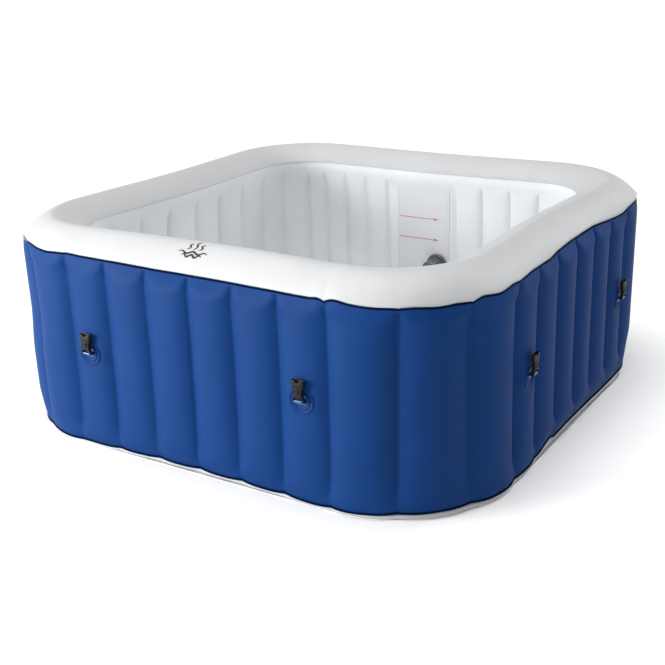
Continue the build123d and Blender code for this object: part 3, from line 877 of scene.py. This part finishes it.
def make_level_panel():
    """Welded plate with a pressed seam near its edge and holes for the two fittings."""
    low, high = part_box("level_panel")
    width, height = high.x - low.x, high.z - low.z
    middle = ((low.x + high.x) / 2, (low.z + high.z) / 2)
    front, back = low.y, high.y
    levels = [(0.0, back), (0.0, front + 0.0010), (0.0004, front + 0.0004), (0.0012, front + 0.0001)]
    levels += [(0.0050, front), (0.0058, front + 0.0006), (0.0070, front + 0.0007), (0.0078, front)]
    sections = []
    for inset, y in levels:
        edge = rounded_rectangle(width - 2 * inset, height - 2 * inset, 0.018 - inset)
        sections.append([(middle[0] + x, y, middle[1] + z) for x, z in edge])
    ob = loft("level_plate", sections)
    cutters = []
    for node in ("suction_pipe", "return_pipe"):
        a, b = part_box(node)
        x, z = (a.x + b.x) / 2, (a.z + b.z) / 2
        cutters.append(rod("hole", 0.021, (x, front - 0.02, z), (x, back + 0.02, z)))
    cut(ob, cutters)
    ob.data.shade_smooth()
    modify(ob, split_edges(40))
    finish_piece(ob, "tub", M["panel"], ["level_panel"])


make_level_panel()


# ---- Buckles, their patches and tabs ----
HINGE_Z = 0.299
HINGE_OUT = 0.0140
PATCH_FACE = 0.0015


def wall_matrix(side, along, z, out=0.0):
    """Places something made round the origin, facing -Y, on a wall."""
    turn = Matrix.Rotation(side * math.pi / 2, 4, "Z")
    return turn @ Matrix.Translation((along, -(WALL_FACE + out), z))


def make_patch_mesh():
    """Round welded patch with two pressed rings and a soft edge."""
    profile = [(0.0, 0.0015), (0.0205, 0.0015), (0.0214, 0.0018), (0.0222, 0.0027), (0.0232, 0.0031)]
    profile += [(0.0241, 0.0027), (0.0248, 0.0012), (0.0252, 0.0003), (0.0260, 0.0003), (0.0264, 0.0012)]
    profile += [(0.0272, 0.0015), (0.0310, 0.0015), (0.0318, 0.0019), (0.0326, 0.0028), (0.0335, 0.0031)]
    profile += [(0.0343, 0.0026), (0.0349, 0.0012), (0.0353, 0.0003), (0.0361, 0.0003), (0.0366, 0.0011)]
    profile += [(0.0374, 0.0012), (0.0379, 0.0008), (0.0381, 0.0), (0.0381, -0.0008)]
    sides = 96
    verts = [(0, -profile[0][1], 0)]
    for radius, out in profile[1:]:
        verts += [(radius * c, -out, radius * s) for c, s in circle(sides)]
    faces = disc_faces(len(profile) - 1, sides)
    faces.append(tuple(reversed(range(len(verts) - sides, len(verts)))))
    return verts, faces


def make_tab_mesh():
    """Vinyl loop round the crossbar, with two flaps fixed to the patch by rows of stitches."""
    gap, thick = 0.0027, 0.0015
    bend = HINGE_OUT - PATCH_FACE
    middle = gap + thick / 2
    path = [(thick / 2, -0.0127 + 0.0019 * i) for i in range(5)]
    path.append((thick / 2 + 0.0004, -middle - 0.0005))
    path += [(lerp(0.0025, bend, i / 4), -middle) for i in range(5)]
    for i in range(1, 12):
        turn = -math.pi / 2 + math.pi * i / 12
        path.append((bend + middle * math.cos(turn), middle * math.sin(turn)))
    path += [(out, -z) for out, z in reversed(path[:11])]
    width = [(-0.0125, 0.35), (-0.0121, 0.85), (-0.0112, 1.0), (-0.0060, 0.94), (0.0, 1.0)]
    width += [(-x, share) for x, share in reversed(width[:4])]
    sections = []
    for k, (out, z) in enumerate(path):
        a, b = path[max(k - 1, 0)], path[min(k + 1, len(path) - 1)]
        d = Vector((b[0] - a[0], b[1] - a[1])).normalized() * thick / 2
        faces_of = []
        for side in (1, -1):
            faces_of.append([(x, -(PATCH_FACE + out - d.y * side * share), z + d.x * side * share)
                             for x, share in width])
        sections.append(faces_of[0][::-1] + faces_of[1])
    verts, faces = closed_loft(sections)
    # two rows of short raised threads on each flap
    for flap in (-1, 1):
        for row in (0.0062, 0.0104):
            for i in range(-4, 5):
                thread = stitch((i * 0.0026, -(PATCH_FACE + thick), flap * row), 0.00085, 0.00035)
                add_part(verts, faces, *thread)
    return verts, faces


def stitch(centre, half_length, radius):
    """One short raised thread that lies along x, a little askew."""
    askew = 0.0003
    sections = []
    for along, share in [(-1.0, 0.05), (-0.8, 0.6), (-0.3, 1.0), (0.3, 1.0), (0.8, 0.6), (1.0, 0.05)]:
        x = centre[0] + along * half_length
        out = radius * share
        sections.append([(x, centre[1] - out * s, centre[2] + out * c + along * askew) for c, s in circle(6)])
    return closed_loft(sections)


def oval_ring(half_width, half_depth, z, power=4.5, sides=40, shift=0.0):
    """A rounded rectangle across the buckle at height z."""
    points = []
    for c, s in circle(sides, 0.5):
        x = half_width * math.copysign(abs(c) ** (2 / power), c)
        y = half_depth * math.copysign(abs(s) ** (2 / power), s)
        points.append((x, y + shift, z))
    return points


def box_cutter(x, y, z):
    verts = [(a, b, c) for a in x for b in y for c in z]
    faces = [(0, 1, 3, 2), (4, 6, 7, 5), (0, 4, 5, 1), (2, 3, 7, 6), (0, 2, 6, 4), (1, 5, 7, 3)]
    return mesh_from("cutter", verts, faces, shade=False)


def make_buckle_mesh():
    """Side-release socket: waisted shell, mouth, side windows, centre rib, legs and crossbar."""
    shape = [(-2.6, 17.6, 4.4), (-2.0, 18.7, 5.2), (-1.0, 19.0, 5.6), (4.0, 19.0, 5.8), (7.0, 17.5, 5.8)]
    shape += [(10.0, 15.6, 5.8), (13.5, 13.7, 5.8), (17.5, 12.3, 5.8), (22.0, 11.6, 5.8), (28.0, 11.8, 5.8)]
    shape += [(32.0, 13.1, 5.8), (36.5, 15.3, 5.9), (40.0, 17.2, 6.0), (44.0, 18.8, 6.0), (50.0, 19.3, 6.0)]
    shape += [(54.8, 19.4, 5.9), (55.6, 19.1, 5.6), (56.0, 18.5, 5.2)]
    sections = [oval_ring(w / 1000, d / 1000, z / 1000) for z, w, d in shape]
    body = loft("buckle_body", sections)
    square = ((-1, -1), (1, -1), (1, 1), (-1, 1))
    # slot for the webbing, flared towards the waist, and the gap below the crossbar
    cutters = []
    for steps in (((2.2, 13.8), (5.5, 13.5), (9.0, 10.6), (12.0, 8.0)), ((-10.0, 13.8), (2.4, 13.8))):
        slot = [[(x * w / 1000, y * 0.010, z / 1000) for x, y in square] for z, w in steps]
        cutters.append(loft("cutter", slot))
    mouth = [(13.8, 3.6, 40.0), (13.8, 3.6, 54.0), (14.8, 4.4, 56.5), (14.8, 4.4, 60.0)]
    cutters.append(loft("cutter", [oval_ring(w / 1000, d / 1000, z / 1000, 6, 24) for w, d, z in mouth]))
    opening = rounded_rectangle(0.0066, 0.0080, 0.0024, 4)
    for way in (-1, 1):
        window = [[(way * x, y, z + 0.0465) for y, z in opening] for x in (0.0130, 0.030)]
        cutters.append(loft("cutter", [ring[::-way] for ring in window]))
    # a shallow recess each side of the centre rib, on the front
    for way in (-1, 1):
        x = sorted((way * 0.0040, way * 0.0088))
        cutters.append(box_cutter(x, (-0.0070, -0.0049), (0.0170, 0.0300)))
    # a step under the jaw, and notches that leave two teeth at its mouth
    cutters.append(box_cutter((-0.0145, 0.0145), (-0.0070, -0.0052), (0.0385, 0.0410)))
    cutters.append(box_cutter((-0.0060, 0.0060), (-0.0070, -0.0030), (0.0520, 0.0600)))
    cut(body, cutters)
    body.data.shade_smooth()
    soft = {"width": 0.00035, "segments": 2, "limit_method": "ANGLE", "angle_limit": math.radians(50)}
    modify(body, ("BEVEL", soft), split_edges(38))
    rib = [(13.5, 2.0, 5.6), (15.0, 3.0, 6.1), (20.0, 3.2, 6.6), (28.0, 3.2, 6.7), (37.0, 3.8, 6.6)]
    rib.append((40.0, 3.0, 6.0))
    rib = [oval_ring(w / 1000, 0.0012, z / 1000, 3, 20, -(d - 1.2) / 1000) for z, w, d in rib]
    lip = [(43.4, 15.0, 5.6), (44.4, 16.4, 6.5), (46.8, 16.9, 6.7), (48.0, 16.2, 5.8)]
    lip = [oval_ring(w / 1000, 0.0016, z / 1000, 3.5, 28, -(d - 1.6) / 1000) for z, w, d in lip]
    bars = [rod("crossbar", 0.0022, (-0.0165, 0, 0), (0.0165, 0, 0), 32), loft("rib", rib), loft("lip", lip)]
    for ob in bars:
        ob.data.shade_smooth()
        modify(ob, split_edges(45))
    with bpy.context.temp_override(active_object=body, selected_editable_objects=[body] + bars):
        bpy.ops.object.join()
    return body


def copies(name, part, places):
    """One mesh from copies of the same small one."""
    verts, faces = [], []
    for matrix in places:
        add_part(verts, faces, [tuple(matrix @ Vector(v)) for v in part[0]], part[1])
    return mesh_from(name, verts, faces)


def make_buckles():
    spots = [(side, end) for side in range(4) for end in (-1, 1)]
    places = [wall_matrix(side, end * BUCKLE_SPAN, PATCH_Z) for side, end in spots]
    patches = copies("strap_patches", make_patch_mesh(), places)
    finish_piece(patches, "tub", M["blue"], ["buckle_patches"])
    places = [wall_matrix(side, end * BUCKLE_SPAN, HINGE_Z) for side, end in spots]
    tabs = copies("vinyl_tabs", make_tab_mesh(), places)
    finish_piece(tabs, "tub", M["tab"], ["strap_tabs"])
    shape = make_buckle_mesh()
    names = ("front", "right", "back", "left")
    for side, end in spots:
        node = "buckle_" + names[side] + ("_a" if end < 0 else "_b")
        ob = new_object(node + "_shell", shape.data)
        ob.matrix_world = wall_matrix(side, end * BUCKLE_SPAN, HINGE_Z, HINGE_OUT)
        finish_piece(ob, node, M["buckle"], [node])
    bpy.data.objects.remove(shape)


make_buckles()


# ---- Printed mark on the rim: steam over a wave ----
def rim_point(x, across):
    """A point on the front stretch of the rim."""
    if across < RIM_APEX:
        share, power, low_z = 1 - across / RIM_APEX, RIM_OUTER_POWER, SEAM_Z
    else:
        share, power, low_z = (across - RIM_APEX) / (1 - RIM_APEX), RIM_INNER_POWER, INNER_SEAM_Z
    height = rim_height(share, power)
    level = level_between(SEAM, INNER, across)
    points, _ = outline(level, np.array([0]), np.array([x]))
    return Vector((points[0][0], points[0][1], low_z + (TUB_TOP - low_z) * height))


def stroke(path, width=0.0052):
    """A thin printed ribbon along a path of (right, up) points on the rim, tapered at both ends."""
    centre, rim_reach = (-0.009, 0.240), 0.185
    last = len(path) - 1
    sections = []
    for k, (u, v) in enumerate(path):
        a, b = path[max(k - 1, 0)], path[min(k + 1, last)]
        half = width / 2 * (0.25 + 0.75 * math.sin(math.pi * k / last) ** 0.6)
        d = Vector((b[0] - a[0], b[1] - a[1])).normalized() * half
        over, under = [], []
        for side in (-1, 0, 1):
            place = (centre[0] + u + side * d.y, centre[1] + (v - side * d.x) / rim_reach)
            point = rim_point(*place)
            slope = (rim_point(place[0], place[1] + 0.01) - point).normalized()
            normal = Vector((1, 0, 0)).cross(slope).normalized()
            over.append(tuple(point + normal * 0.0006))
            under.append(tuple(point + normal * 0.0002))
        sections.append(over + under[::-1])
    return closed_loft(sections)


def make_mark():
    verts, faces = [], []
    for shift, tall in ((-0.019, 0.85), (0.0, 1.25), (0.019, 0.85)):
        path = []
        for i in range(25):
            t = i / 24
            u = shift + 0.0050 * math.sin(2 * math.pi * t) + 0.010 * (t - 0.5)
            path.append((u, 0.002 + 0.024 * tall * t))
        add_part(verts, faces, *stroke(path))
    for shift, length in ((-0.007, 0.092), (-0.0155, 0.064)):
        path = []
        for i in range(41):
            t = i / 40
            path.append((length * (t - 0.5), shift + 0.0032 * math.sin(5 * math.pi * t)))
        add_part(verts, faces, *stroke(path))
    ob = mesh_from("rim_mark", verts, faces, shade=False)
    finish_piece(ob, "tub", M["ink"])


make_mark()


# ---- Valve spring: a fixed coil here, though the real one shortens as the stem is pressed ----
def make_valve_spring(turns=6, per_turn=28, sides=10):
    low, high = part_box("valve_spring")
    centre = (low + high) / 2
    wire = 0.00045
    radius = (high.x - low.x) / 2 - wire
    count = turns * per_turn
    sections = []
    for k in range(count + 1):
        turn = 2 * math.pi * k / per_turn
        y = lerp(low.y + wire, high.y - wire, k / count)
        ring = []
        for c, s in circle(sides):
            reach = radius + wire * c
            ring.append((centre.x + reach * math.cos(turn), y + wire * s, centre.z + reach * math.sin(turn)))
        sections.append(ring)
    ob = loft("valve_coil", sections, shade=True)
    finish_piece(ob, "tub", M["steel"], ["valve_spring"])
    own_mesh(ob)


make_valve_spring()

# ---- CAD pieces that keep their shape take these finishes ----
FINISH = {
    "red": ["level_lines"],
    "plastic": ["suction_fitting", "suction_cap", "return_fitting", "return_grille"],
    "filter": ["filter_cartridge"],
    "rubber": ["inner_gaskets", "outer_gaskets"],
    "hose": ["suction_pipe", "return_pipe", "air_hose", "drain_pipe"],
    "port": ["suction_spigot", "return_spigot", "air_spigot", "drain_outlet", "drain_cap", "drain_inlet",
             "drain_stopper", "valve_body", "valve_stem", "valve_cap"],
}
for finish, nodes in FINISH.items():
    for node in nodes:
        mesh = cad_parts[node].data
        mesh.materials.clear()
        mesh.materials.append(M[finish])

# ---- Camera, light and floor ----
CAMERA_AZIMUTH = math.radians(32.05)
CAMERA_ELEVATION = math.radians(19.86)
CAMERA_ROLL = math.radians(1.56)
CAMERA_DISTANCE = 3.531
CAMERA_TARGET = Vector((0.0, 0.0, 0.1668))


def make_camera():
    data = bpy.data.cameras.new("camera")
    ob = new_object("camera", data)
    flat = math.cos(CAMERA_ELEVATION)
    back = Vector((math.sin(CAMERA_AZIMUTH) * flat, -math.cos(CAMERA_AZIMUTH) * flat, 0))
    back.z = math.sin(CAMERA_ELEVATION)
    right = Vector((0, 0, 1)).cross(back).normalized()
    up = back.cross(right)
    turn = Matrix((right, up, back)).transposed().to_4x4() @ Matrix.Rotation(-CAMERA_ROLL, 4, "Z")
    ob.matrix_world = Matrix.Translation(CAMERA_TARGET + back * CAMERA_DISTANCE) @ turn
    data.lens = 58.96
    data.sensor_width = 36.0
    data.shift_x = -0.0199
    data.shift_y = -0.0009
    data.clip_end = 100
    bpy.context.scene.camera = ob


make_camera()


def lamp(name, kind, towards, **settings):
    """A light that shines along towards."""
    data = bpy.data.lights.new(name, kind)
    for key, value in settings.items():
        setattr(data, key, value)
    ob = new_object(name, data)
    ob.rotation_euler = Vector(towards).to_track_quat("-Z", "Y").to_euler()
    return ob


# a square softbox near the tub, so its light falls off towards the back, and two far, large ones
KEY_PLACE = Vector((-3.05, -4.15, 0.95))
KEY_TARGET = Vector((0.0, -0.3, 0.3))
key = lamp("key", "AREA", KEY_TARGET - KEY_PLACE, shape="SQUARE", size=2.4, energy=390.0)
key.location = KEY_PLACE
key.visible_camera = False
lamp("far_side", "SUN", (-0.48, -0.80, -0.42), energy=1.0, angle=math.radians(34))
lamp("overhead", "SUN", (0.05, 0.1, -1.0), energy=3.3, angle=math.radians(55))


def make_stage():
    """Pale paper floor that sweeps up far away into a low backdrop all round."""
    flat, bend, sides = 26.0, 8.0, 96
    profile = [(1.2, 0.0), (6.0, 0.0), (flat, 0.0)]
    for i in range(1, 13):
        turn = math.pi / 2 * i / 12
        profile.append((flat + bend * math.sin(turn), bend * (1 - math.cos(turn))))
    verts = [(0.0, 0.0, 0.0)]
    for radius, z in profile:
        verts += [(radius * c, radius * s, z) for c, s in circle(sides)]
    faces = disc_faces(len(profile), sides)
    ob = mesh_from("studio_floor", verts, faces)
    n = Nodes("studio_floor")
    paper = n.noise(3.0, 2.0, 0.5)
    n.set(Base_Color=n.ramp(paper, [(0.3, (0.79, 0.79, 0.79)), (0.7, (0.81, 0.81, 0.81))]), Roughness=0.9)
    ob.data.materials.append(n.material)


make_stage()

world = bpy.data.worlds.new("studio")
bpy.context.scene.world = world
world.use_nodes = True
world.node_tree.nodes["Background"].inputs["Color"].default_value = (1, 1, 1, 1)
world.node_tree.nodes["Background"].inputs["Strength"].default_value = 0.18
bpy.context.scene.view_settings.view_transform = "Standard"
